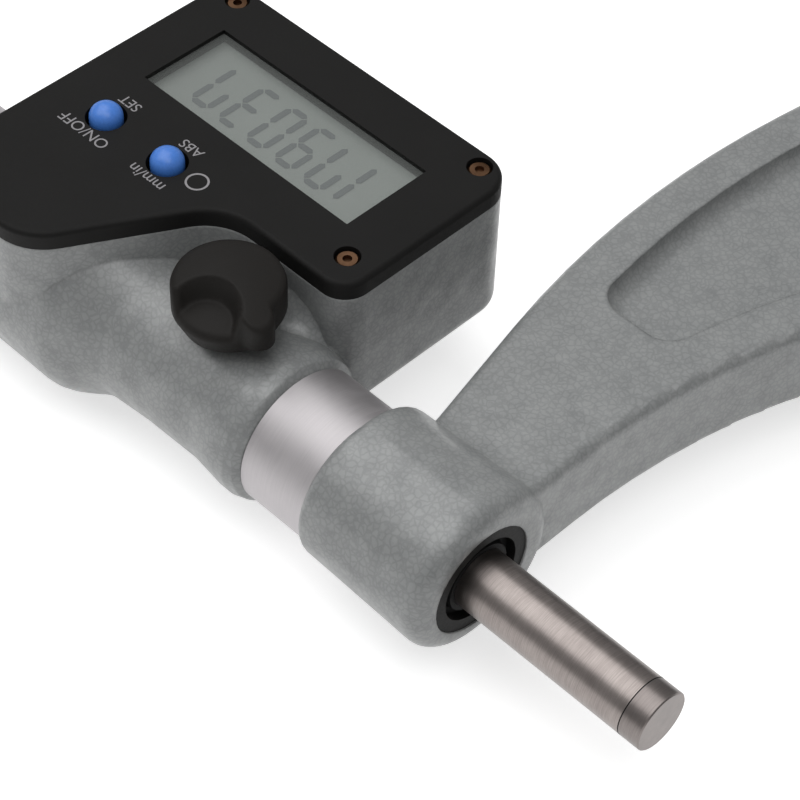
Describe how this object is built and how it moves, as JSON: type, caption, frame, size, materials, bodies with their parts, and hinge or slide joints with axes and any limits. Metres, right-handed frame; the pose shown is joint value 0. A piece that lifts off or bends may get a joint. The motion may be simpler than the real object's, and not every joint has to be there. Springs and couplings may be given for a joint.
{
  "type": "digital outside micrometer",
  "caption": "Large bow-frame outside micrometer with an electronic display head, non-rotating case, screw spindle, ratchet stop and spindle lock.",
  "frame": {"origin": "centre of the anvil's measuring face", "axes": "+X along the measuring axis from the spindle to the anvil, +Y into the bow, +Z out of the display face"},
  "size_m": [0.3935, 0.1782, 0.0341],
  "materials": {
    "hammertone": "hammertone enamel, mid grey, glossy",
    "ground_steel": "fine ground",
    "carbide": "lapped carbide",
    "seal_rubber": "matt black rubber",
    "satin_chrome": "satin chrome",
    "black_plastic": "fine textured black plastic",
    "blue_plastic": "smooth blue plastic",
    "clear_window": "clear window",
    "display_grey": "grey-green liquid crystal",
    "board_green": "circuit board",
    "copper_screw": "copper coloured steel",
    "battery_steel": "nickel plated",
    "brass_part": "turned brass"
  },
  "bodies": {
    "head": {"frame": "hammertone", "anvil": "ground_steel", "anvil_tip": "carbide", "nose_ring": "black_plastic", "wiper_seal": "seal_rubber", "stem_sleeve": "satin_chrome", "housing": "hammertone", "face_cover": "black_plastic", "display_window": "clear_window", "display_panel": "display_grey", "contact_strip": "seal_rubber", "circuit_board": "board_green", "key_switches": "black_plastic", "cover_screws": "copper_screw", "battery_cap": "black_plastic", "battery_seal": "seal_rubber", "battery": "battery_steel", "battery_contact": "brass_part", "lock_shoe": "brass_part", "encoder_stator": "board_green", "bush_washer": "ground_steel", "rear_barrel": "satin_chrome", "adjusting_nut": "ground_steel"},
    "rotor": {"encoder_rotor": "board_green", "rotor_bush": "brass_part"},
    "spindle": {"spindle": "ground_steel", "spindle_tip": "carbide", "thimble": "satin_chrome", "ratchet_gear": "ground_steel", "ratchet_screw": "ground_steel"},
    "ratchet": {"ratchet_knob": "satin_chrome", "ratchet_clutch": "ground_steel", "ratchet_spring": "ground_steel"},
    "lock": {"lock_knob": "black_plastic", "lock_screw": "ground_steel"},
    "left_button": {"left_button": "blue_plastic"},
    "right_button": {"right_button": "blue_plastic"}
  },
  "joints": [
    {"name": "spindle_turn", "type": "hinge", "parent": "head", "child": "rotor", "pos_m": [-0.283, 0, 0], "axis": [1, 0, 0], "range_deg": [-15097.4, 2910.6]},
    {"name": "spindle_travel", "type": "slide", "parent": "rotor", "child": "spindle", "axis": [1, 0, 0], "range_m": [-0.02096, 0.00404]},
    {"name": "ratchet_turn", "type": "hinge", "parent": "spindle", "child": "ratchet", "pos_m": [-0.352, 0, 0], "axis": [1, 0, 0], "continuous": true},
    {"name": "lock_turn", "type": "hinge", "parent": "head", "child": "lock", "pos_m": [-0.24965, 0, 0.012], "axis": [0, 0, 1], "range_deg": [-60, 0]},
    {"name": "left_button_press", "type": "slide", "parent": "head", "child": "left_button", "axis": [0, 0, -1], "range_m": [0, 0.0005], "stiffness_N_per_m": 400},
    {"name": "right_button_press", "type": "slide", "parent": "head", "child": "right_button", "axis": [0, 0, -1], "range_m": [0, 0.0005], "stiffness_N_per_m": 400}
  ],
  "couplings": [
    {"joint": "spindle_turn", "follows": "spindle_travel", "rad_per_m": 12566}
  ]
}
